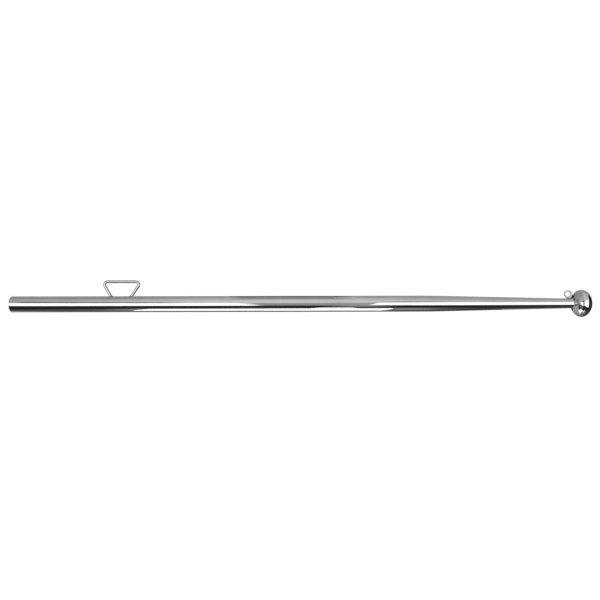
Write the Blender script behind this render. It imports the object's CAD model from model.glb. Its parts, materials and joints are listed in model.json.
"""Looks of a boat flagpole: a mirror-polished steel tube drawn down to a slim end under a flattened
ball, with a bent-rod cleat near its foot and a small wire eye under the ball.

The pole stands on z = 0 and rises along +Z; the cleat and the eye are on its -X side. Lengths are in
metres. Every piece is a grid of points worked out as whole arrays: a profile turned about the pole's
axis, or a round section carried along a path.
"""
import json
import logging
import math
from dataclasses import dataclass
from enum import Enum
from typing import Any

import bpy
import numpy as np
from mathutils import Matrix, Vector


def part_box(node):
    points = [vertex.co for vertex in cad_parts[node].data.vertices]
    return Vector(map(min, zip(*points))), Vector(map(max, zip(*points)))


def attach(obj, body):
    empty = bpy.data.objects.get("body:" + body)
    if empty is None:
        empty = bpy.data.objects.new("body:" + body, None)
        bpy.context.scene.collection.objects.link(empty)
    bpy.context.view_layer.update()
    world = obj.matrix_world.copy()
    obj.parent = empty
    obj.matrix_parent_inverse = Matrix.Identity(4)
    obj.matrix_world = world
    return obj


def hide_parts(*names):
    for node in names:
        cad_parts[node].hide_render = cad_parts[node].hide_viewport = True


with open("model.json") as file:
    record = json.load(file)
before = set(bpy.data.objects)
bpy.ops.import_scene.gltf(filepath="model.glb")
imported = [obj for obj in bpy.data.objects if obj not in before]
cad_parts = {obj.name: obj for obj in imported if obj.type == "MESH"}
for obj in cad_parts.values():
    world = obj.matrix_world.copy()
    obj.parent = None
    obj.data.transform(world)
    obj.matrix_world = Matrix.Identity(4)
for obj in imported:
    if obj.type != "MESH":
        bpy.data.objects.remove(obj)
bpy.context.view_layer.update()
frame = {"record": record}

LOG = logging.getLogger("flagpole")
MM = 0.001

Piece = bpy.types.Object
Socket = bpy.types.NodeSocket
Sockets = dict[str, Socket]
Points = np.ndarray
Pair = tuple[float, float]
Place = tuple[float, float, float]
Colour = tuple[float, float, float, float]

# Points of the grids: rows along a piece, and columns round it
TUBE_ROWS = (49, 41, 25)  # up the straight tube, over the shoulder and up the taper
TUBE_COLUMNS = 192
BORE_ROWS = 60
FOOT_ROWS = 9
LIP_ROWS = 7
BALL_ROWS = 121
BALL_COLUMNS = 256
SOCKET_ROWS = 4
RING_ROWS = 128
WIRE_COLUMNS = 48
LEG_ROWS = 20
BEND_ROWS = 30
BAR_ROWS = 22
ROD_COLUMNS = 64
WELD_ROWS = 15
PATCH_ROWS = 5
RIPPLE_POINTS = 8  # columns to a ripple of a weld
CLOSE_RIPPLE_POINTS = 12  # columns to a ripple of the cleat's welds
FLOOR_ROWS = 13
FLOOR_COLUMNS = 96
CARD_ROWS = 9
SHARP_EDGE = math.radians(50.0)

# What helps to place the points
SHOULDER_STRETCH = 5.0  # half the stretch of close rows over the tube's shoulder, in shoulders
BALL_SEAT = 5.0 * MM  # depth of the tube's end in the ball
CLEAR_OF_TUBE = 12.0 * MM  # a start well outside the tube
FIRST_RING = 3.2 * MM  # height of the first ring of points over the cleat's foot
ACROSS = np.array([0.0, 1.0, 0.0])  # the direction square to the fittings' plane

# The crescents in a weld's face
CRESCENTS_DRAWN_BACK = 0.55  # in crescents, at the middle of the face
CRESCENT_POWER = 0.7
FINE_RIPPLE = 0.07 * MM  # depth of the lines between them on the smaller welds

# The steel's fine lines and the film on it
LINES_A_METRE = 5200.0
CLOUDS_A_METRE = 24.0
DEEP_WEAR = 0.6  # how far a deep line takes on the dull colour

# The studio
CARD_HALF_THICKNESS = 0.5 * MM
WHITE: Colour = (1.0, 1.0, 1.0, 1.0)
SENSOR = 36.0  # width of the camera's sensor, in millimetres
LEAST_LEVEL = 1.0e-4  # keeps a ray along the pole from a division by nothing


class Grain(Enum):
    """Which way the polishing lines of a finish run: the coordinates, and how they are drawn out."""

    ROUND_THE_POLE = ("Object", (0.06, 0.06, 1.0))
    ALONG_THE_ROD = ("UV", (0.05, 1.0, 1.0))


class Slot(Enum):
    """Material slots of the record that the pieces take their finish from."""

    TUBE = "tube_polished"
    BALL = "ball_polished"
    ROD = "rod_polished"
    WELD = "weld"


def turn(columns: int) -> Points:
    """Angles of one full turn in radians, evenly spaced from 0, without repeating the first."""
    return np.linspace(0.0, 2.0 * np.pi, columns, endpoint=False)


def smooth(values: Points) -> Points:
    """Eases values from 0 to 1 with level ends (3t^2 - 2t^3, held outside 0 to 1)."""
    t = np.clip(values, 0.0, 1.0)
    return t * t * (3.0 - 2.0 * t)


def lathe(radius: Points, height: Points, columns: int) -> Points:
    """Turns a profile about the pole's axis: x = r cos a, y = r sin a, z = h.

    Args:
        radius: profile radii, one a row, or rows by columns.
        height: profile heights, in the same way.
        columns: points in a full turn.

    Returns:
        Points as rows by columns by 3.
    """
    angle = turn(columns)[None, :]
    r, z = (part[:, None] if part.ndim == 1 else part for part in (radius, height))
    return np.stack(np.broadcast_arrays(r * np.cos(angle), r * np.sin(angle), z), axis=-1)


def uneven(angle: Points, *waves: tuple[float, float, float], mean: float = 1.0) -> Points:
    """A share that wavers round a hand-laid weld: mean + sum of size cos(count a + start).

    Args:
        angle: angles round the weld.
        waves: count, size and start of each wave.
        mean: the share without its waves.

    Returns:
        One share for each angle.
    """
    share = mean
    for count, size, start in waves:
        share = share + size * np.cos(count * angle + start)
    return share


def weld_face(first: Points, last: Points, root: Points, ripples: int, bow: float = 0.62,
              depth: float = 0.09 * MM) -> Points:
    """The face of a weld run between two toe lines: a curve bowed away from the root, with shallow
    crescents pressed into it, one for each drop of filler: depth (1 - |sin pi p|^0.7), p counted round
    the run and drawn back towards both toes.

    Args:
        first: points of one toe line, a closed loop.
        last: points of the other toe line.
        root: points of the corner that the weld fills.
        ripples: number of crescents round the loop.
        bow: 0.5 for a flat face, more for a bowed one.
        depth: depth of the lines between the crescents.

    Returns:
        Points as rows by columns by 3, from the first toe to the last.
    """
    t = np.linspace(0.0, 1.0, WELD_ROWS)[:, None, None]
    middle = root + bow * ((first - root) + (last - root))
    face = (1 - t) ** 2 * first + 2 * t * (1 - t) * middle + t * t * last
    away = (middle - root) / np.linalg.norm(middle - root, axis=-1, keepdims=True)
    arch = 4.0 * t * (1.0 - t)
    count = (ripples * turn(len(root)) / (2.0 * np.pi))[None, :, None]
    crescent = np.abs(np.sin(np.pi * (count - CRESCENTS_DRAWN_BACK * arch))) ** CRESCENT_POWER
    return face - depth * arch * (1.0 - crescent) * away


@dataclass
class Surface:
    """A closed skin: rows of points, each row a closed loop, with its two ends joined or capped.

    Attributes:
        points: rows by columns by 3.
        joined: True where the last row runs on into the first, as on a ring.
        first_pole: the point that closes the first row, if it isn't joined.
        last_pole: the point that closes the last row, if it isn't joined.
        lined: material number of each band between two rows; None is 0 for all.
    """

    points: Points
    joined: bool = False
    first_pole: Points | None = None
    last_pole: Points | None = None
    lined: Points | None = None

    def faces(self) -> tuple[Points, Points, Points]:
        """Lays out the four-sided faces between the rows.

        Returns:
            Their point numbers, the flat coordinates of their corners in metres (along the rows, and round
            each row), and the row that each starts from.
        """
        rows, columns = self.points.shape[:2]
        ring = np.concatenate([self.points, self.points[:1]]) if self.joined else self.points
        along = np.linalg.norm(np.diff(ring, axis=0), axis=-1).mean(axis=1)
        u = np.concatenate([[0.0], np.cumsum(along)])
        round_steps = np.linalg.norm(self.points - np.roll(self.points, -1, axis=1), axis=-1)
        v = np.linspace(0.0, round_steps.sum(axis=1).max(), columns + 1)
        row, column = (part.ravel() for part in np.indices((len(along), columns)))
        corners = [(row, column), (row, column + 1), (row + 1, column + 1), (row + 1, column)]
        quads = np.stack([i % rows * columns + j % columns for i, j in corners], axis=-1)
        flat = np.stack([np.stack([u[i], v[j]], axis=-1) for i, j in corners], axis=1)
        return quads, flat, row

    def piece(self, name: str) -> Piece:
        """Makes the mesh object, faces outward, shaded smooth except across sharp edges.

        Args:
            name: name of the new object.

        Returns:
            The object, linked to the scene.
        """
        rows, columns = self.points.shape[:2]
        points = self.points.reshape(-1, 3)
        quads, flat, row = self.faces()
        tris = np.zeros((0, 3), dtype=int)
        ring = np.arange(columns)
        beside = np.roll(ring, -1)
        last = (rows - 1) * columns
        fans = (self.first_pole, beside, ring), (self.last_pole, last + ring, last + beside)
        for pole, one, other in fans:
            if pole is not None:
                fan = np.stack([np.full(columns, len(points)), one, other], axis=-1)
                tris = np.concatenate([tris, fan])
                points = np.concatenate([points, pole[None, :]])
        a, b, c = points[np.concatenate([quads[:, :3], quads[:, [0, 2, 3]], tris]).T]
        if np.einsum("ij,ij->", a, np.cross(b, c)) < 0.0:  # the skin's volume: its faces look inward
            quads, flat, tris = quads[:, ::-1], flat[:, ::-1], tris[:, ::-1]
        mesh = bpy.data.meshes.new(name)
        mesh.from_pydata(points, [], quads.tolist() + tris.tolist())
        layer = mesh.uv_layers.new(name="metres")
        places = np.concatenate([flat.reshape(-1, 2), np.zeros((len(tris) * 3, 2))])
        layer.uv.foreach_set("vector", places.astype(np.float32).ravel())
        if self.lined is not None:
            number = np.concatenate([self.lined[row], np.zeros(len(tris), dtype=int)])
            mesh.polygons.foreach_set("material_index", number.astype(np.int32))
        mesh.shade_smooth()
        mesh.set_sharp_from_angle(angle=SHARP_EDGE)
        mesh.update()
        made = bpy.data.objects.new(name, mesh)
        bpy.context.scene.collection.objects.link(made)
        LOG.info("%s: %d points, %d faces", name, len(mesh.vertices), len(mesh.polygons))
        return made


@dataclass
class Wiring:
    """Adds nodes to one node tree and joins them.

    Attributes:
        tree: the tree worked on.
    """

    tree: bpy.types.NodeTree

    def node(self, kind: str, **values: Any) -> bpy.types.Node:
        """Adds a node and sets or joins its inputs.

        Args:
            kind: Blender's name for the kind of node, without its "ShaderNode".
            values: inputs by name, "_" for a space: a number or colour to set, or a socket to join.

        Returns:
            The new node.
        """
        return self.fill(self.tree.nodes.new("ShaderNode" + kind), values)

    def fill(self, node: bpy.types.Node, values: dict[str, Any]) -> bpy.types.Node:
        """Sets or joins a node's inputs.

        Args:
            node: the node.
            values: inputs by name, "_" for a space: a number or colour to set, or a socket to join.

        Returns:
            The same node.
        """
        for name, value in values.items():
            self.feed(node.inputs[name.replace("_", " ")], value)
        return node

    def noise(self, place: Socket, scale: Any, detail: float, roughness: float = 0.5) -> Socket:
        """Soft noise from 0 to 1, with finer noise on it up to a detail."""
        return self.node("TexNoise", Vector=place, Scale=scale, Detail=detail, Roughness=roughness).outputs[0]

    def feed(self, target: Socket, value: Any) -> None:
        """Joins a socket to an input, or sets the input's own value.

        Args:
            target: the input.
            value: a socket to join, or a number or colour to set.
        """
        if isinstance(value, bpy.types.NodeSocket):
            self.tree.links.new(value, target)
        else:
            target.default_value = value

    def math(self, operation: str, *terms: Any) -> Socket:
        """Works out one sum from numbers or sockets.

        Args:
            operation: Blender's name for the sum.
            terms: one to three numbers or sockets.

        Returns:
            The result's socket.
        """
        made = self.node("Math")
        made.operation = operation
        for target, value in zip(made.inputs, terms):
            self.feed(target, value)
        return made.outputs[0]

    def ease(self, value: Any, low: Any, high: Any, start: Any = 0.0, end: Any = 1.0,
             kind: str = "SMOOTHSTEP") -> Socket:
        """Carries a value from one range to another and holds it at the ends.

        Args:
            value: number or socket to carry over.
            low: value that gives start.
            high: value that gives end.
            start: result at low.
            end: result at high.
            kind: "SMOOTHSTEP" for level ends, "LINEAR" for a straight run.

        Returns:
            The result's socket.
        """
        made = self.node("MapRange", Value=value, From_Min=low, From_Max=high, To_Min=start, To_Max=end)
        made.interpolation_type = kind
        return made.outputs["Result"]

    def blend(self, share: Any, first: Any, second: Any) -> Socket:
        """Mixes two colours by a share from 0 to 1.

        Args:
            share: how much of the second colour.
            first: colour or socket at 0.
            second: colour or socket at 1.

        Returns:
            The mixed colour's socket.
        """
        made = self.node("Mix")
        made.data_type = "RGBA"
        for place, value in ((0, share), (6, first), (7, second)):
            self.feed(made.inputs[place], value)
        return made.outputs[2]


def blank_material(name: str) -> tuple[bpy.types.Material, Wiring]:
    """Makes a material without nodes.

    Args:
        name: name of the material.

    Returns:
        The material, and the wiring to fill it.
    """
    made = bpy.data.materials.new(name)
    made.use_nodes = True
    made.node_tree.nodes.clear()
    return made, Wiring(made.node_tree)


class SharedEffect:
    """A node group that several finishes use, made once by its first user.

    Attributes:
        name: name of the group.
        inputs: kinds of the sockets that come in, by name.
        outputs: kinds of the sockets that go out, by name.
    """

    name = "effect"
    inputs: dict[str, str] = {}
    outputs: dict[str, str] = {}

    def wire(self, wiring: Wiring, given: Sockets) -> Sockets:
        """Wires the group from what comes in to what goes out; each effect has its own way.

        Args:
            wiring: the group's wiring.
            given: the sockets that come in, by name.

        Returns:
            The sockets that go out, by name.
        """
        raise NotImplementedError

    def group(self) -> bpy.types.NodeTree:
        """Finds the group, or makes and wires it.

        Returns:
            The group.
        """
        found = bpy.data.node_groups.get(self.name)
        if found is not None:
            return found
        tree = bpy.data.node_groups.new(self.name, "ShaderNodeTree")
        for way, kinds in (("INPUT", self.inputs), ("OUTPUT", self.outputs)):
            for name, kind in kinds.items():
                tree.interface.new_socket(name, in_out=way, socket_type="NodeSocket" + kind)
        given = tree.nodes.new("NodeGroupInput").outputs
        out = tree.nodes.new("NodeGroupOutput")
        wiring = Wiring(tree)
        wiring.fill(out, self.wire(wiring, {name: given[name] for name in self.inputs}))
        return tree

    def use(self, wiring: Wiring, **values: Any) -> bpy.types.Node:
        """Adds the group to a tree.

        Args:
            wiring: the tree's wiring.
            values: the group's inputs by name, "_" for a space.

        Returns:
            The group's node.
        """
        made = wiring.node("Group")
        made.node_tree = self.group()
        return wiring.fill(made, values)


class PolishingLines(SharedEffect):
    """Fine lines that a polishing wheel leaves: noise drawn out one way, at two widths.

    Attributes:
        wide_scale: scale of the wide lines' noise, as a share of the fine lines'.
        wide_share: share of the height that comes from the wide lines.
        deep: heights between which a line comes to count as deep.
    """

    name = "polishing_lines"
    inputs = {"Vector": "Vector", "Scale": "Float"}
    outputs = {"Height": "Float", "Deep": "Float"}
    wide_scale = 0.21
    wide_share = 0.6
    deep: Pair = (0.54, 0.68)

    def wire(self, wiring: Wiring, given: Sockets) -> Sockets:
        """Goes from drawn-out coordinates to a height and a mask of the deeper lines.

        Args:
            wiring: the group's wiring.
            given: the sockets that come in, by name.

        Returns:
            The sockets that go out, by name.
        """
        fine = wiring.noise(given["Vector"], given["Scale"], detail=2.0)
        wide_scale = wiring.math("MULTIPLY", given["Scale"], self.wide_scale)
        wide = wiring.noise(given["Vector"], wide_scale, detail=1.0)
        fine_part = wiring.math("MULTIPLY", fine, 1.0 - self.wide_share)
        height = wiring.math("MULTIPLY_ADD", wide, self.wide_share, fine_part)
        return {"Height": height, "Deep": wiring.ease(height, *self.deep)}


class HandlingHaze(SharedEffect):
    """A faint film from wiping and handling: large soft clouds with a finer cloud inside them.

    Attributes:
        large: noise between which a large cloud goes from clear to full.
        finer_scale: scale of the finer clouds' noise, as a multiple of the large ones'.
        finer: noise between which a finer cloud goes from its least to full.
        least: film that is left between the finer clouds.
    """

    name = "handling_haze"
    inputs = {"Vector": "Vector", "Scale": "Float"}
    outputs = {"Film": "Float"}
    large: Pair = (0.38, 0.66)
    finer_scale = 7.0
    finer: Pair = (0.3, 0.7)
    least = 0.4

    def wire(self, wiring: Wiring, given: Sockets) -> Sockets:
        """Goes from coordinates to a share of film from 0 to 1.

        Args:
            wiring: the group's wiring.
            given: the sockets that come in, by name.

        Returns:
            The sockets that go out, by name.
        """
        large = wiring.noise(given["Vector"], given["Scale"], detail=3.0)
        finer_scale = wiring.math("MULTIPLY", given["Scale"], self.finer_scale)
        finer = wiring.noise(given["Vector"], finer_scale, detail=4.0, roughness=0.6)
        clouds = wiring.ease(large, *self.large)
        inside = wiring.ease(finer, *self.finer, start=self.least)
        return {"Film": wiring.math("MULTIPLY", clouds, inside)}


class HeatTint(SharedEffect):
    """The straw colour that heat leaves in steel beside a weld, mostly brushed away again.

    Attributes:
        straw: the tint's colour.
        patches_a_metre: scale of the patches' noise.
        patch: noise between which a patch goes from clean to tinted.
    """

    name = "heat_tint"
    inputs = {"Clean": "Color", "Vector": "Vector", "Amount": "Float"}
    outputs = {"Color": "Color"}
    straw: Colour = (0.47, 0.41, 0.31, 1.0)
    patches_a_metre = 420.0
    patch: Pair = (0.35, 0.7)

    def wire(self, wiring: Wiring, given: Sockets) -> Sockets:
        """Goes from a clean colour and coordinates to the tinted colour.

        Args:
            wiring: the group's wiring.
            given: the sockets that come in, by name.

        Returns:
            The sockets that go out, by name.
        """
        patches = wiring.noise(given["Vector"], self.patches_a_metre, detail=3.0)
        share = wiring.math("MULTIPLY", wiring.ease(patches, *self.patch), given["Amount"])
        return {"Color": wiring.blend(share, given["Clean"], self.straw)}


@dataclass(frozen=True)
class SteelFinish:
    """One finish of bare steel.

    Attributes:
        name: name of the material.
        tone: colour where it is clean and bright.
        dull: colour under the handling film and in the deeper lines.
        roughness: roughness where it is clean and bright.
        film_roughness: what the full film adds to the roughness.
        line_roughness: what the deepest lines add to the roughness.
        line_depth: height of the lines, in metres.
        grain: which way the lines run.
        heat: share of heat tint.
    """

    name: str
    tone: Colour
    dull: Colour
    roughness: float
    film_roughness: float
    line_roughness: float
    line_depth: float
    grain: Grain
    heat: float = 0.0

    def material(self) -> bpy.types.Material:
        """Makes the material, or finds it.

        Returns:
            The material.
        """
        found = bpy.data.materials.get(self.name)
        if found is not None:
            return found
        made, wiring = blank_material(self.name)
        place = wiring.node("TexCoord")
        source, drawn_out = self.grain.value
        drawn = wiring.node("Mapping", Vector=place.outputs[source], Scale=drawn_out)
        lines = PolishingLines().use(wiring, Vector=drawn.outputs[0], Scale=LINES_A_METRE)
        spot = place.outputs["Object"]
        film = HandlingHaze().use(wiring, Vector=spot, Scale=CLOUDS_A_METRE).outputs["Film"]
        worn = wiring.math("MAXIMUM", film, wiring.math("MULTIPLY", lines.outputs["Deep"], DEEP_WEAR))
        colour = wiring.blend(worn, self.tone, self.dull)
        if self.heat > 0.0:
            colour = HeatTint().use(wiring, Clean=colour, Vector=spot, Amount=self.heat).outputs[0]
        rough = wiring.math("MULTIPLY_ADD", film, self.film_roughness, self.roughness)
        rough = wiring.math("MULTIPLY_ADD", lines.outputs["Deep"], self.line_roughness, rough)
        bump = wiring.node("Bump", Height=lines.outputs["Height"], Strength=1.0, Distance=self.line_depth)
        steel = wiring.node("BsdfPrincipled", Base_Color=colour, Metallic=1.0, Roughness=rough,
                            Normal=bump.outputs[0])
        wiring.node("OutputMaterial", Surface=steel.outputs[0])
        return made


MIRROR_TUBE = SteelFinish(
    "mirror_tube", tone=(0.668, 0.666, 0.668, 1.0), dull=(0.602, 0.6, 0.602, 1.0), roughness=0.035,
    film_roughness=0.03, line_roughness=0.025, line_depth=1.2e-7, grain=Grain.ROUND_THE_POLE)
MIRROR_BALL = SteelFinish(
    "mirror_ball", tone=(0.672, 0.67, 0.672, 1.0), dull=(0.612, 0.61, 0.612, 1.0), roughness=0.03,
    film_roughness=0.025, line_roughness=0.02, line_depth=1.0e-7, grain=Grain.ROUND_THE_POLE)
POLISHED_ROD = SteelFinish(
    "polished_rod", tone=(0.605, 0.604, 0.606, 1.0), dull=(0.53, 0.53, 0.532, 1.0), roughness=0.09,
    film_roughness=0.05, line_roughness=0.05, line_depth=2.5e-7, grain=Grain.ALONG_THE_ROD)
BRUSHED_WELD = SteelFinish(
    "brushed_weld", tone=(0.31, 0.308, 0.306, 1.0), dull=(0.22, 0.218, 0.216, 1.0), roughness=0.26,
    film_roughness=0.12, line_roughness=0.1, line_depth=2.0e-6, grain=Grain.ROUND_THE_POLE, heat=0.25)
SCORCHED_WELD = SteelFinish(
    "scorched_weld", tone=(0.2, 0.196, 0.192, 1.0), dull=(0.13, 0.127, 0.124, 1.0), roughness=0.3,
    film_roughness=0.12, line_roughness=0.1, line_depth=2.0e-6, grain=Grain.ROUND_THE_POLE, heat=0.35)
MILL_BORE = SteelFinish(
    "mill_bore", tone=(0.46, 0.46, 0.46, 1.0), dull=(0.36, 0.355, 0.35, 1.0), roughness=0.4,
    film_roughness=0.12, line_roughness=0.08, line_depth=2.0e-6, grain=Grain.ALONG_THE_ROD)


@dataclass(frozen=True)
class Fitting:
    """What every sub-assembly of the pole shares: its pieces ride on the one body of the CAD."""

    def keep(self, piece: Piece, node: str, slot: Slot, *finishes: SteelFinish) -> None:
        """Gives a piece its finish and puts it in place of its CAD node.

        Args:
            piece: the new piece.
            node: the CAD node that it stands for.
            slot: its material slot in the record.
            finishes: its finishes, by the material numbers of its faces.
        """
        for finish in finishes:
            piece.data.materials.append(finish.material())
        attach(piece, "root")
        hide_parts(node)


@dataclass(frozen=True)
class PoleTube(Fitting):
    """The tube: straight from its foot, then drawn down to a slim end inside the ball.

    Attributes:
        radius: outside radius of the straight tube.
        bore: inside radius of the straight tube.
        taper_start: height where the taper begins.
        end: height of the tube's end, inside the ball.
        end_radius: outside radius at the end.
        shoulder: half the length over which the straight tube eases into the taper.
        foot_round: radius of the broken edge round the foot.
        bore_round: radius of the broken edge inside the foot.
        seam: height of the rolled seam inside the bore.
        seam_width: half width of that seam.
    """

    radius: float
    bore: float
    taper_start: float
    end: float
    end_radius: float = 7.4 * MM
    shoulder: float = 9.0 * MM
    foot_round: float = 0.4 * MM
    bore_round: float = 0.2 * MM
    seam: float = 0.15 * MM
    seam_width: float = 1.0 * MM

    @classmethod
    def from_frame(cls) -> "PoleTube":
        """Takes the sizes from the CAD node's box and the record's bore.

        Returns:
            The tube.
        """
        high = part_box("pole_tube")[1]
        bore = next(m for m in frame["record"]["mounts"] if m["name"] == "tube_bore")["dims"]
        return cls(radius=high.x, bore=bore["r_mm"] * MM, taper_start=bore["length_mm"] * MM, end=high.z)

    def outside(self, height: Points) -> Points:
        """Outside radius at a height: level, then a straight taper, eased by a hyperbola between.

        Args:
            height: heights above the foot.

        Returns:
            The radii.
        """
        slope = (self.radius - self.end_radius) / (self.end - self.taper_start)
        past = np.asarray(height) - self.taper_start
        return self.radius - slope * 0.5 * (past + np.sqrt(past * past + self.shoulder * self.shoulder))

    def build(self) -> Piece:
        """Turns the wall's outline about the axis: foot edge, outside, end, and back down the bore.

        Returns:
            The tube.
        """
        edge = np.linspace(-0.5 * np.pi, 0.0, FOOT_ROWS)
        foot_r = self.radius - self.foot_round * (1.0 - np.cos(edge))
        foot_z = self.foot_round * (1.0 + np.sin(edge))
        reach = SHOULDER_STRETCH * self.shoulder
        stops = (self.foot_round, self.taper_start - reach, self.taper_start + reach, self.end)
        up = np.concatenate([np.linspace(*run)[1:] for run in zip(stops, stops[1:], TUBE_ROWS)])
        down = np.linspace(self.end, self.bore_round, BORE_ROWS)
        wall = self.radius - self.bore
        lip = np.linspace(0.0, 0.5 * np.pi, LIP_ROWS)[1:]
        lip_r = self.bore + self.bore_round * (1.0 - np.cos(lip))
        lip_z = self.bore_round * (1.0 - np.sin(lip))
        radius = np.concatenate([foot_r, self.outside(up), self.outside(down) - wall, lip_r])
        height = np.concatenate([foot_z, up, down, lip_z])
        inside = np.repeat([0.0, 1.0, 0.0], [len(foot_r) + len(up), len(down), len(lip_r)])
        across = np.angle(np.exp(1j * (turn(TUBE_COLUMNS) - 0.5 * np.pi))) * self.bore / self.seam_width
        ridge = self.seam * np.exp(-across * across)
        skin = lathe(radius[:, None] - inside[:, None] * ridge[None, :], height, TUBE_COLUMNS)
        return Surface(skin, joined=True, lined=inside.astype(int)).piece("tube_skin")

    def dress(self, piece: Piece) -> None:
        """Polishes the outside and leaves the bore as it was drawn."""
        self.keep(piece, "pole_tube", Slot.TUBE, MIRROR_TUBE, MILL_BORE)


@dataclass(frozen=True)
class BallFinial(Fitting):
    """The flattened ball on the tube's end, and the weld that holds it there.

    Attributes:
        tube: the tube it sits on.
        radius: radius at the equator.
        low: height of the lowest point of its outline.
        high: height of its top.
        room: gap round the tube in the socket.
        bead: reach of the weld along the tube and along the ball.
        beads: number of ripples round the weld.
    """

    tube: PoleTube
    radius: float
    low: float
    high: float
    room: float = 0.1 * MM
    bead: float = 1.25 * MM
    beads: int = 56

    @classmethod
    def from_frame(cls, tube: PoleTube) -> "BallFinial":
        """Takes the sizes from the CAD node's box, with the ball's outline carried down past its socket."""
        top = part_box("ball_finial")[1]
        return cls(tube=tube, radius=min(top.x, top.y), low=tube.end - BALL_SEAT, high=top.z)

    @property
    def mouth(self) -> float:
        """Radius of the socket."""
        return float(self.tube.outside(self.low)) + self.room

    def underside(self, radius: Points) -> Points:
        """Height of the oval's underside: its middle less half its height times sqrt(1 - (r / R)^2).

        Args:
            radius: distances from the axis.

        Returns:
            The heights.
        """
        half = 0.5 * (self.high - self.low)
        share = np.clip(np.asarray(radius) / self.radius, 0.0, 1.0)
        return self.low + half - half * np.sqrt(1.0 - share * share)

    def build(self) -> Piece:
        """Turns an oval about the axis, from the socket's floor round by the outside to the top.

        Returns:
            The ball.
        """
        half = 0.5 * (self.high - self.low)
        start = -math.acos(self.mouth / self.radius)
        t = np.linspace(start, 0.5 * np.pi, BALL_ROWS)[:-1]
        radius = np.concatenate([np.full(SOCKET_ROWS, self.mouth), self.radius * np.cos(t)])
        wall = np.linspace(self.tube.end, float(self.underside(self.mouth)), SOCKET_ROWS + 1)[:-1]
        height = np.concatenate([wall, self.low + half + half * np.sin(t)])
        floor = np.array([0.0, 0.0, self.tube.end])
        top = np.array([0.0, 0.0, self.high])
        skin = lathe(radius, height, BALL_COLUMNS)
        return Surface(skin, first_pole=floor, last_pole=top).piece("ball_skin")

    def build_weld(self) -> Piece:
        """Lays a rippled bead in the corner between tube and ball, from a toe on each.

        Returns:
            The weld.
        """
        columns = RIPPLE_POINTS * self.beads
        angle = turn(columns)[None, :]
        reach = self.bead * uneven(angle, (5.0, 0.03, 0.0), (13.0, 0.02, 1.0), mean=0.95)
        root_r = np.full((1, columns), self.mouth - self.room)
        root_z = np.broadcast_to(self.underside(self.mouth), root_r.shape)
        toe_z = root_z - reach
        toe = lathe(self.tube.outside(toe_z), toe_z, columns)[0]
        rim = lathe(root_r + reach, self.underside(root_r + reach), columns)[0]
        root = lathe(root_r, root_z, columns)
        rows = np.concatenate([weld_face(toe, rim, root[0], self.beads), root])
        return Surface(rows, joined=True).piece("ball_bead")

    def dress(self, ball: Piece, weld: Piece) -> None:
        """Polishes the ball and brushes its weld."""
        self.keep(ball, "ball_finial", Slot.BALL, MIRROR_BALL)
        self.keep(weld, "ball_weld", Slot.WELD, BRUSHED_WELD)


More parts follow.
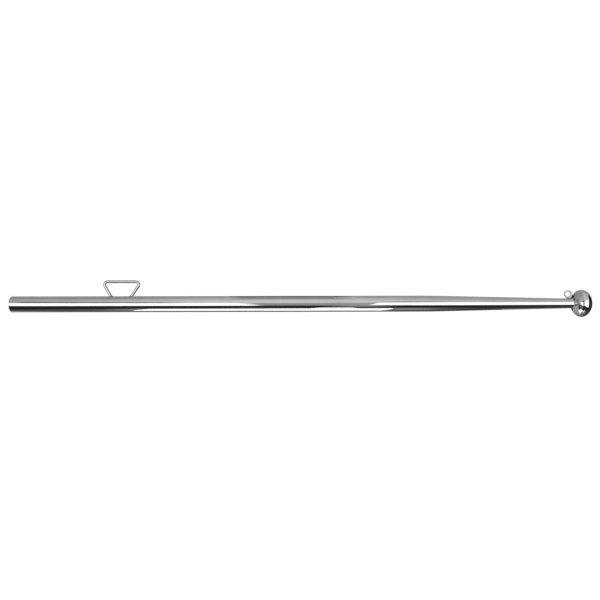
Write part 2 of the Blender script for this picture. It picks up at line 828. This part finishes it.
@dataclass(frozen=True)
class LineEye(Fitting):
    """The wire ring under the ball, and the weld that holds it on the taper.

    Attributes:
        tube: the tube it stands on.
        height: height of the ring's middle.
        out: distance of the ring's middle from the axis.
        ring: radius of the ring, at the middle of its wire.
        wire: radius of the wire.
        grips: angles of the ring that the weld takes hold of, towards the ball and towards the foot.
        wrap: angle that the weld climbs round the wire.
        toes: reach of the weld along the tube, towards the ball and towards the foot.
        toe_width: half width of the weld across the tube.
        beads: number of ripples round the weld.
        root: shares of the toes' reach along and across the tube where the weld's root lies.
    """

    tube: PoleTube
    height: float
    out: float
    ring: float
    wire: float
    grips: Pair = (math.radians(42.0), math.radians(24.0))
    wrap: float = math.radians(108.0)
    toes: Pair = (4.9 * MM, 2.8 * MM)
    toe_width: float = 1.95 * MM
    beads: int = 18
    root: Pair = (0.55, 0.45)

    @classmethod
    def from_frame(cls, tube: PoleTube) -> "LineEye":
        """Takes the sizes from the CAD node's box.

        Args:
            tube: the tube it stands on.

        Returns:
            The eye.
        """
        low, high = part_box("halyard_eye")
        wire = 0.5 * (high.y - low.y)
        outside = 0.5 * (high.z - low.z)
        return cls(tube=tube, height=0.5 * (low.z + high.z), out=-0.5 * (low.x + high.x),
                   ring=outside - wire, wire=wire)

    def on_wire(self, along: Points, round_wire: Points) -> Points:
        """Points on the wire's skin: R + r cos b out from the ring's middle, and r sin b to its side.

        Args:
            along: angle round the ring from its point nearest the tube.
            round_wire: angle round the wire from its side away from the ring's middle.

        Returns:
            Points, one for each pair of angles.
        """
        far = self.ring + self.wire * np.cos(round_wire)
        x, z = far * np.cos(along) - self.out, self.height + far * np.sin(along)
        y = self.wire * np.sin(round_wire)
        return np.stack(np.broadcast_arrays(x, y, z), axis=-1)

    def on_tube(self, along: Points, across: Points) -> Points:
        """Points on the tube's skin, x = -sqrt(R^2 - y^2).

        Args:
            along: distances along the tube from under the ring's middle.
            across: distances across the tube, which are y.

        Returns:
            The points.
        """
        height = self.height + along
        radius = self.tube.outside(height)
        return np.stack([-np.sqrt(radius * radius - across * across), across, height], axis=-1)

    def build(self) -> Piece:
        """Carries the wire's round section round the ring."""
        skin = self.on_wire(turn(RING_ROWS)[:, None], turn(WIRE_COLUMNS)[None, :])
        return Surface(skin, joined=True).piece("eye_ring")

    def build_weld(self) -> Piece:
        """Fills the gap under the ring: a patch on the wire, a patch on the tube and a bowed side between.

        Returns:
            The weld.
        """
        angle = turn(RIPPLE_POINTS * self.beads)
        share = np.linspace(0.0, 1.0, PATCH_ROWS)[1:, None]
        up = np.cos(angle) > 0.0
        hold = np.where(up, *self.grips) * np.cos(angle)
        run = np.where(up, *self.toes) * np.cos(angle)
        spread = self.toe_width * np.sin(angle)
        grip = self.on_wire(share * hold, share * self.wrap * np.sin(angle))
        lump = uneven(angle, (3.0, 0.05, 0.7), (7.0, 0.03, 0.0))
        toe = self.on_tube(share * lump * run, share * lump * spread)
        top, foot = grip[-1], toe[-1]
        root = self.on_tube(self.root[0] * run, self.root[1] * spread)
        side = weld_face(top, foot, root, self.beads, bow=0.52, depth=FINE_RIPPLE)
        rows = np.concatenate([grip, side[1:-1], toe[::-1]])
        zero = np.zeros(1)
        under, over = self.on_wire(zero, zero)[0], self.on_tube(zero, zero)[0]
        return Surface(rows, first_pole=under, last_pole=over).piece("eye_bead")

    def dress(self, ring: Piece, weld: Piece) -> None:
        """Polishes the ring and leaves its weld, which no brush reaches, scorched."""
        self.keep(ring, "halyard_eye", Slot.ROD, POLISHED_ROD)
        self.keep(weld, "eye_weld", Slot.WELD, SCORCHED_WELD)


@dataclass(frozen=True)
class LineCleat(Fitting):
    """The cleat: one rod bent to a bar on two leaning legs, each leg cut to the tube and welded round.

    A point of its plane is a height along the pole and a distance out from the pole's axis.

    Attributes:
        tube: the tube it stands on.
        rod: radius of the rod.
        bar_out: distance of the bar's middle from the axis.
        feet: heights where the lower and the upper leg meet the tube.
        leans: angles of the lower and the upper leg from square to the tube.
        bend: radius of the bends, at the middle of the rod.
        bend_loss: radius that the rod loses in a bend, in the cleat's plane and across it.
        bead: reach of a weld across the tube.
        bead_climb: reach of a weld up the rod.
        beads: number of ripples round a weld.
        bend_ease: share of a bend over which the rod grows thinner.
    """

    tube: PoleTube
    rod: float
    bar_out: float
    feet: Pair = (153.7 * MM, 185.7 * MM)
    leans: Pair = (math.radians(30.0), math.radians(35.0))
    bend: float = 4.6 * MM
    bend_loss: Pair = (0.1 * MM, 0.015 * MM)
    bead: float = 0.5 * MM
    bead_climb: float = 0.7 * MM
    beads: int = 22
    bend_ease: float = 0.2

    @classmethod
    def from_frame(cls, tube: PoleTube) -> "LineCleat":
        """Takes the rod and the bar's place from the CAD node's box.

        Args:
            tube: the tube it stands on.

        Returns:
            The cleat.
        """
        low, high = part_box("halyard_cleat")
        rod = 0.5 * (high.y - low.y)
        return cls(tube=tube, rod=rod, bar_out=-low.x - rod)

    def leg(self, side: int) -> tuple[float, Points, Points, Points]:
        """One leg in the cleat's plane.

        Args:
            side: 0 for the lower leg, 1 for the upper one.

        Returns:
            Its way along the pole, -1 or 1, its foot, the direction from the foot out to the bar, and the
            direction to its outer side.
        """
        sign = -1.0 if side == 0 else 1.0
        sine, cosine = math.sin(self.leans[side]), math.cos(self.leans[side])
        foot = np.array([self.feet[side], self.tube.radius])
        return sign, foot, np.array([sign * sine, cosine]), np.array([sign * cosine, -sine])

    def path(self) -> tuple[Points, Points, Points]:
        """The rod's middle line from one foot to the other: leg, bend, bar, bend, leg.

        Returns:
            Points in the cleat's plane, the directions to the outer side of the bends, and how much
            of each point is in a bend, from 0 to 1.
        """
        rise = self.bar_out - self.tube.radius
        runs, sides, bent = [], [], []
        centre_out = self.bar_out - self.bend
        for side in (0, 1):
            sign, foot, away, outer = self.leg(side)
            corner = self.feet[side] + sign * rise * math.tan(self.leans[side])
            back = self.bend / math.tan(0.25 * math.pi - 0.5 * self.leans[side])
            centre = np.array([corner - sign * back, centre_out])
            length = float(np.linalg.norm(centre + self.bend * outer - foot))
            steps = np.concatenate([[0.0], np.linspace(FIRST_RING, length, LEG_ROWS)])[:, None]
            leg = foot + steps * away
            angle = np.linspace(-self.leans[side], 0.5 * math.pi, BEND_ROWS)[1:]
            radial = np.stack([sign * np.cos(angle), np.sin(angle)], axis=-1)
            arc = centre + self.bend * radial
            share = np.linspace(0.0, 1.0, BEND_ROWS)[1:]
            ease = smooth(share / self.bend_ease) * smooth((1.0 - share) / self.bend_ease)
            runs.append(np.concatenate([leg, arc]))
            sides.append(np.concatenate([np.broadcast_to(outer, leg.shape), radial]))
            bent.append(np.concatenate([np.zeros(len(leg)), ease]))
        across = np.linspace(runs[0][-1], runs[1][-1], BAR_ROWS)[1:-1]
        square = np.broadcast_to(np.array([0.0, 1.0]), across.shape)
        return (np.concatenate([runs[0], across, runs[1][::-1]]),
                np.concatenate([sides[0], square, sides[1][::-1]]),
                np.concatenate([bent[0], np.zeros(len(across)), bent[1][::-1]]))

    @staticmethod
    def stand(plane: Points) -> Points:
        """Turns points or directions of the cleat's plane to stand on the pole's -X side."""
        return np.stack([-plane[..., 1], np.zeros(plane.shape[:-1]), plane[..., 0]], axis=-1)

    def to_tube(self, start: Points, inward: Points) -> Points:
        """Carries points straight along a direction until they meet the tube, x^2 + y^2 = R^2.

        Args:
            start: points outside the tube.
            inward: the direction to carry them in.

        Returns:
            The points on the tube.
        """
        a = inward[0] ** 2 + inward[1] ** 2
        b = start[:, 0] * inward[0] + start[:, 1] * inward[1]
        c = start[:, 0] ** 2 + start[:, 1] ** 2 - self.tube.radius ** 2
        far = (-b - np.sqrt(b * b - a * c)) / a
        return start + far[:, None] * inward

    def build(self) -> Piece:
        """Carries the rod's section, r cos a to the outer side and r sin a across, along the path, and cuts
        both feet to the tube.

        Returns:
            The bent rod.
        """
        middle, outer, bent = self.path()
        angle = turn(ROD_COLUMNS)[None, :, None]
        deep, wide = ((self.rod - loss * bent)[:, None, None] for loss in self.bend_loss)
        rows = (self.stand(middle)[:, None, :] + deep * np.cos(angle) * self.stand(outer)[:, None, :]
                + wide * np.sin(angle) * ACROSS)
        poles = []
        for index, leg in ((0, 0), (-1, 1)):
            foot, out = (self.stand(part) for part in self.leg(leg)[1:3])
            rows[index] = self.to_tube(rows[index] + CLEAR_OF_TUBE * out, -out)
            poles.append(foot)
        return Surface(rows, first_pole=poles[0], last_pole=poles[1]).piece("cleat_rod")

    def build_weld(self, leg: int, name: str) -> Piece:
        """Lays a rippled bead round a leg's foot: a bowed face from the rod down to the tube.

        Args:
            leg: 0 for the lower leg, 1 for the upper one.
            name: name of the new piece.

        Returns:
            The weld.
        """
        foot, out, outer = (self.stand(part) for part in self.leg(leg)[1:])
        angle = turn(CLOSE_RIPPLE_POINTS * self.beads)[:, None]
        spoke = np.cos(angle) * outer + np.sin(angle) * ACROSS
        start = foot + CLEAR_OF_TUBE * out
        inner = self.to_tube(start + self.rod * spoke, -out)
        reach = self.bead * uneven(angle, (2.0, 0.06, 1.0), (5.0, 0.04, 0.0))
        toe = self.to_tube(start + (self.rod + reach) * spoke, -out)
        top = inner + self.bead_climb * uneven(angle, (3.0, 0.05, 0.0)) * out
        face = weld_face(top, toe, inner, self.beads, depth=FINE_RIPPLE)
        return Surface(np.concatenate([face, inner[None]]), joined=True).piece(name)

    def dress(self, rod: Piece, lower: Piece, upper: Piece) -> None:
        """Polishes the rod and brushes its two welds.

        Args:
            rod: the bent rod.
            lower: the lower leg's weld.
            upper: the upper leg's weld.
        """
        self.keep(rod, "halyard_cleat", Slot.ROD, POLISHED_ROD)
        self.keep(lower, "cleat_lower_weld", Slot.WELD, BRUSHED_WELD)
        self.keep(upper, "cleat_upper_weld", Slot.WELD, BRUSHED_WELD)


@dataclass(frozen=True)
class Panel:
    """One lit or dark patch of the studio, as the polished pole sees it.

    Attributes:
        name: what the patch is.
        along: where it begins and ends along the pole, as rise over distance from the pole.
        round_pole: where it begins and ends round the pole, in degrees: 0 towards the camera, 90 to -X.
        glow: brightness at its first and its last angle round the pole.
        soft_along: half width of its soft edges along the pole.
        soft_round: half width of its soft edges round the pole, in degrees.
    """

    name: str
    along: Pair
    round_pole: Pair
    glow: Pair
    soft_along: float = 0.01
    soft_round: float = 2.0


class PanelLight(SharedEffect):
    """One panel laid over what is behind it: the overlap of two soft-edged ranges."""

    name = "panel_light"
    inputs = dict.fromkeys(("Along", "Round", "Behind", "Begin", "End", "Soft Along", "Low", "High",
                            "Soft Round", "First Glow", "Last Glow"), "Float")
    outputs = {"Glow": "Float"}

    def wire(self, wiring: Wiring, given: Sockets) -> Sockets:
        """Goes from the two directions and the panel's edges to the brightness seen.

        Args:
            wiring: the group's wiring.
            given: the sockets that come in, by name.

        Returns:
            The sockets that go out, by name.
        """

        def past(value: str, edge: str) -> Socket:
            """Share from 0 before a soft edge to 1 after it."""
            ends = (wiring.math(way, given[edge], given["Soft " + value]) for way in ("SUBTRACT", "ADD"))
            return wiring.ease(given[value], *ends)

        along = wiring.math("SUBTRACT", past("Along", "Begin"), past("Along", "End"))
        around = wiring.math("SUBTRACT", past("Round", "Low"), past("Round", "High"))
        share = wiring.math("MULTIPLY", along, around)
        glow = wiring.ease(given["Round"], given["Low"], given["High"], given["First Glow"],
                           given["Last Glow"], "LINEAR")
        change = wiring.math("SUBTRACT", glow, given["Behind"])
        return {"Glow": wiring.math("MULTIPLY_ADD", share, change, given["Behind"])}


@dataclass(frozen=True)
class Card:
    """A flat card of light, or of black cloth, that stands in the studio out of the camera's sight.

    Attributes:
        name: what the card is.
        corners: its four corners in millimetres, going round it.
        glow: brightness along its first side and along the side across from it.
    """

    name: str
    corners: tuple[Place, ...]
    glow: Pair

    def build(self) -> None:
        """Makes the card, a straight-sided patch between its corners, a hair thick."""
        a, b, c, d = (np.array(corner) * MM for corner in self.corners)
        facing = np.cross(b - a, d - a)
        thick = CARD_HALF_THICKNESS * facing / np.linalg.norm(facing)
        near, far = np.linspace(a, d, CARD_ROWS), np.linspace(b, c, CARD_ROWS)
        rows = np.stack([near - thick, far - thick, far + thick, near + thick], axis=1)
        begin, end = 0.5 * (a + b), 0.5 * (c + d)
        card = Surface(rows, first_pole=begin, last_pole=end).piece(self.name)
        made, wiring = blank_material(self.name)
        place = wiring.node("TexCoord")
        u = wiring.node("SeparateXYZ", Vector=place.outputs["UV"]).outputs[0]
        glow = wiring.ease(u, 0.0, float(np.linalg.norm(end - begin)), *self.glow, "LINEAR")
        shine = wiring.node("Emission", Color=WHITE, Strength=glow)
        wiring.node("OutputMaterial", Surface=shine.outputs[0])
        card.data.materials.append(made)
        card.visible_camera = card.visible_diffuse = card.visible_shadow = False


# The room's walls, ceiling and floor, far enough off to be told by direction alone, each laid over the ones
# before it: its reach along the pole, its reach round it, its brightness and its soft edges
PANELS = (
    Panel("back wall", (-0.45, 0.7), (-190.0, -112.0), (0.17, 0.17), 0.1, 8.0),
    Panel("back wall far to the left", (-9.0, -0.47), (-190.0, -106.0), (0.46, 0.46), 0.08, 8.0),
    Panel("ceiling", (-9.0, -0.2), (20.0, 80.0), (0.67, 0.49), 0.12, 4.0),
    Panel("wall over the ceiling's edge", (-9.0, -0.2), (80.0, 124.0), (0.39, 0.43), 0.12, 5.0),
    Panel("ceiling to the right", (-0.2, 9.0), (20.0, 122.0), (0.74, 0.41), 0.12, 4.0),
    Panel("wall behind to the right", (0.05, 0.75), (122.0, 152.0), (0.42, 0.5), 0.05, 5.0),
    Panel("ceiling's dim end", (-0.62, -0.43), (22.0, 76.0), (0.45, 0.54), 0.06, 4.0),
    Panel("ceiling left of the middle", (-0.33, 0.0), (20.0, 80.0), (0.84, 0.53), 0.08, 4.0),
    Panel("ceiling over the middle", (-0.22, 0.2), (16.0, 92.0), (0.9, 0.6), 0.1, 6.0),
    Panel("line over the right light", (0.14, 0.26), (20.0, 36.0), (0.5, 0.5), 0.03, 4.0),
    Panel("dim room between the lights", (-9.0, 9.0), (-28.0, 17.0), (0.26, 0.54), 0.02, 3.0),
    Panel("dark floor", (-9.0, 9.0), (-112.0, -60.0), (0.1, 0.025), soft_round=5.0),
    Panel("dark floor to the right", (0.05, 9.0), (-130.0, -60.0), (0.06, 0.05), 0.08, 6.0),
    Panel("floor left of the table", (-0.3, 0.0), (-112.0, -76.0), (0.16, 0.32), 0.2, 5.0),
    Panel("floor beside the table", (-0.3, 0.0), (-112.0, -66.0), (0.36, 0.3), 0.05, 4.0),
    Panel("floor right of the table", (0.1, 0.25), (-112.0, -60.0), (0.2, 0.48), 0.1, 4.0),
    Panel("shade under the lights", (-0.85, 9.0), (-64.0, -25.0), (0.025, 0.014), 0.2, 3.0),
    Panel("floor far to the left", (-9.0, -0.85), (-70.0, -25.0), (0.22, 0.12), 0.2, 5.0),
    Panel("edge of the shade", (-0.1, -0.005), (-62.0, -42.0), (0.07, 0.05), 0.04, 5.0),
    Panel("wall by the right light", (0.06, 0.14), (-44.0, -6.0), (0.25, 0.5), 0.03, 5.0),
    Panel("dark end of the room", (1.3, 1.0e6), (-200.0, 200.0), (0.02, 0.02), 0.3),
)

# The lights beside the camera with the left one's black frame, the gap in the room and its faded edges, the
# white table with its rise and its far end, the wall by the ball, and the door, strips and cloth at the back
CARDS = (
    Card("left_light", ((-155, -600, 280), (270, -600, 328), (158, -390, -300), (-142, -390, -300)),
         (1.62, 1.62)),
    Card("left_light_fades", ((-148, -600, 330), (258, -600, 356), (270, -600, 328), (-155, -600, 280)),
         (0.45, 1.62)),
    Card("left_frame", ((-256, -1450, -172), (-707, -1450, -172), (-889, -1450, -744), (-256, -1450, -744)),
         (0.02, 0.02)),
    Card("left_frame_end", ((-256, -1450, 55), (-457, -1450, 55), (-707, -1450, -172), (-256, -1450, -172)),
         (0.3, 0.02)),
    Card("right_light", ((-163, -600, 647), (185, -600, 624), (183, -231, 1135), (-168, -231, 1135)),
         (1.62, 1.62)),
    Card("gap_behind", ((-228, -102, 510), (-228, -102, 342), (-43, 246, 342), (-43, 246, 510)),
         (0.5, 0.0)),
    Card("gap_fades_right", ((-43, 246, 510), (-142, 60, 510), (-142, 60, 550), (-43, 246, 550)),
         (0.12, 0.4)),
    Card("gap_fades_right_low", ((-142, 60, 510), (-228, -102, 510), (-228, -102, 550), (-142, 60, 550)),
         (0.41, 0.62)),
    Card("gap_fades_left", ((-142, 60, 342), (-43, 246, 342), (-43, 246, 312), (-142, 60, 312)),
         (0.12, 0.4)),
    Card("gap_fades_left_low", ((-228, -102, 342), (-142, 60, 342), (-142, 60, 312), (-228, -102, 312)),
         (0.41, 0.62)),
    Card("table", ((670, 262, -8), (670, -228, 42), (416, -187, 660), (591, 270, 657)), (1.6, 1.5)),
    Card("table_rise", ((1785, -650, 490), (1556, -1090, 541), (1556, -1090, 689), (1785, -650, 730)),
         (1.6, 1.6)),
    Card("table_far_end", ((1826, -524, -45), (1874, -314, -45), (1874, -314, 734), (1785, -650, 734)),
         (1.6, 1.6)),
    Card("wall_by_the_ball", ((70, 132, 811), (139, 56, 811), (139, 56, 954), (70, 132, 954)),
         (0.38, 0.1)),
    Card("back_door", ((-160, 640, -260), (170, 640, -260), (170, 640, 1400), (-160, 640, 1400)),
         (0.04, 0.03)),
    Card("back_strip_low", ((-250, 640, -260), (-165, 640, -260), (-165, 640, 310), (-250, 640, 310)),
         (1.0, 1.2)),
    Card("back_cloth", ((-300, 640, 520), (-150, 640, 520), (-150, 640, 790), (-300, 640, 790)),
         (0.02, 0.02)),
    Card("back_strip_high", ((175, 640, 560), (250, 640, 560), (250, 640, 1000), (175, 640, 1000)),
         (0.5, 0.5)),
)


@dataclass(frozen=True)
class Studio:
    """A white studio: an even white surround, the room and the cards that the steel mirrors, a pale floor
    and the camera.

    Attributes:
        surround: brightness of the surround, which lights the floor.
        room: brightness of the room behind the panels.
        cool: colour of the room's dim parts.
        warm: colour of its bright parts.
        room_tones: brightnesses between which the room's colour goes from cool to warm.
        floor: radius of the floor.
        floor_depth: thickness of the floor.
        paper: the floor's two greys.
        paper_glow: light that the floor adds of its own.
        camera_place: where the camera stands.
        camera_roll: turn of the camera about its line of sight.
        field: width of the view over its distance.
    """

    surround: float = 1.03
    room: float = 0.36
    cool: Colour = (0.97, 0.98, 1.05, 1.0)
    warm: Colour = (1.012, 0.99, 1.0, 1.0)
    room_tones: Pair = (0.25, 0.6)
    floor: float = 6.0
    floor_depth: float = 20.0 * MM
    paper: tuple[Colour, Colour] = ((0.29, 0.29, 0.29, 1.0), (0.31, 0.31, 0.31, 1.0))
    paper_glow: float = 2.45
    camera_place: Place = (-6.0 * MM, -934.0 * MM, 448.1 * MM)
    camera_roll: float = math.radians(0.106)
    field: float = 1.0

    def light(self) -> None:
        """Makes the surround: mirror rays see the panels by direction, and all others see even white."""
        world = bpy.data.worlds.new("studio")
        world.use_nodes = True
        world.node_tree.nodes.clear()
        world.cycles.sampling_method = "NONE"
        wiring = Wiring(world.node_tree)
        ray = wiring.node("TexCoord").outputs["Generated"]
        x, y, z = wiring.node("SeparateXYZ", Vector=ray).outputs
        squares = [wiring.math("MULTIPLY", part, part) for part in (x, y)]
        level = wiring.math("SQRT", wiring.math("ADD", *squares))
        along = wiring.math("DIVIDE", z, wiring.math("MAXIMUM", level, LEAST_LEVEL))
        around = wiring.math("ARCTAN2", *(wiring.math("MULTIPLY", part, -1.0) for part in (x, y)))
        seen: Any = self.room
        for panel in PANELS:
            low, high = (math.radians(v) for v in panel.round_pole)
            seen = PanelLight().use(
                wiring, Along=along, Round=around, Behind=seen, Begin=panel.along[0], End=panel.along[1],
                Soft_Along=panel.soft_along, Low=low, High=high, Soft_Round=math.radians(panel.soft_round),
                First_Glow=panel.glow[0], Last_Glow=panel.glow[1]).outputs["Glow"]
            LOG.info("studio: %s", panel.name)
        hue = wiring.blend(wiring.ease(seen, *self.room_tones), self.cool, self.warm)
        lit = wiring.node("VectorMath")
        lit.operation = "SCALE"
        wiring.fill(lit, {"Vector": hue, "Scale": seen})
        path = wiring.node("LightPath")
        even = (self.surround, self.surround, self.surround, 1.0)
        colour = wiring.blend(path.outputs["Is Glossy Ray"], even, lit.outputs["Vector"])
        back = wiring.node("Background", Color=colour, Strength=1.0)
        wiring.node("OutputWorld", Surface=back.outputs[0])
        bpy.context.scene.world = world

    def lay_floor(self) -> None:
        """Lays a round pale floor under the foot, left out of the steel's reflections."""
        reach = self.floor * np.linspace(0.0, 1.0, FLOOR_ROWS)[1:]
        level = np.zeros_like(reach)
        rows = lathe(np.concatenate([reach, reach[::-1]]), np.concatenate([level, level - self.floor_depth]),
                     FLOOR_COLUMNS)
        under = np.array([0.0, 0.0, -self.floor_depth])
        floor = Surface(rows, first_pole=np.zeros(3), last_pole=under).piece("studio_floor")
        made, wiring = blank_material("pale_floor")
        place = wiring.node("TexCoord")
        clouds = wiring.noise(place.outputs["Object"], scale=3.0, detail=2.0)
        shade = wiring.blend(clouds, *self.paper)
        paper = wiring.node("BsdfPrincipled", Base_Color=shade, Roughness=0.9,
                            Specular_IOR_Level=0.0, Emission_Color=shade, Emission_Strength=self.paper_glow)
        wiring.node("OutputMaterial", Surface=paper.outputs[0])
        floor.data.materials.append(made)
        floor.visible_glossy = False

    def stand_camera(self) -> None:
        """Stands the camera square to the pole, turned so that the pole lies across the picture."""
        data = bpy.data.cameras.new("camera")
        data.sensor_width = SENSOR
        data.lens = SENSOR / self.field
        camera = bpy.data.objects.new("camera", data)
        s, c = math.sin(self.camera_roll), math.cos(self.camera_roll)
        right, up, back = Vector((s, 0.0, c)), Vector((-c, 0.0, s)), Vector((0.0, -1.0, 0.0))
        facing = Matrix((right, up, back)).transposed().to_4x4()
        camera.matrix_world = Matrix.Translation(self.camera_place) @ facing
        bpy.context.scene.collection.objects.link(camera)
        bpy.context.scene.camera = camera

    def build(self) -> None:
        """Lights the studio, lays the floor and stands the camera."""
        self.light()
        for card in CARDS:
            card.build()
        self.lay_floor()
        self.stand_camera()
        bpy.context.scene.view_settings.view_transform = "Standard"


def main() -> None:
    """Builds and dresses each sub-assembly, then the studio."""
    logging.basicConfig(level=logging.INFO, format="%(name)s %(message)s")
    tube = PoleTube.from_frame()
    tube.dress(tube.build())
    ball = BallFinial.from_frame(tube)
    ball.dress(ball.build(), ball.build_weld())
    eye = LineEye.from_frame(tube)
    eye.dress(eye.build(), eye.build_weld())
    cleat = LineCleat.from_frame(tube)
    cleat.dress(cleat.build(), cleat.build_weld(0, "cleat_bead_lower"),
                cleat.build_weld(1, "cleat_bead_upper"))
    Studio().build()


if __name__ == "__main__":
    main()
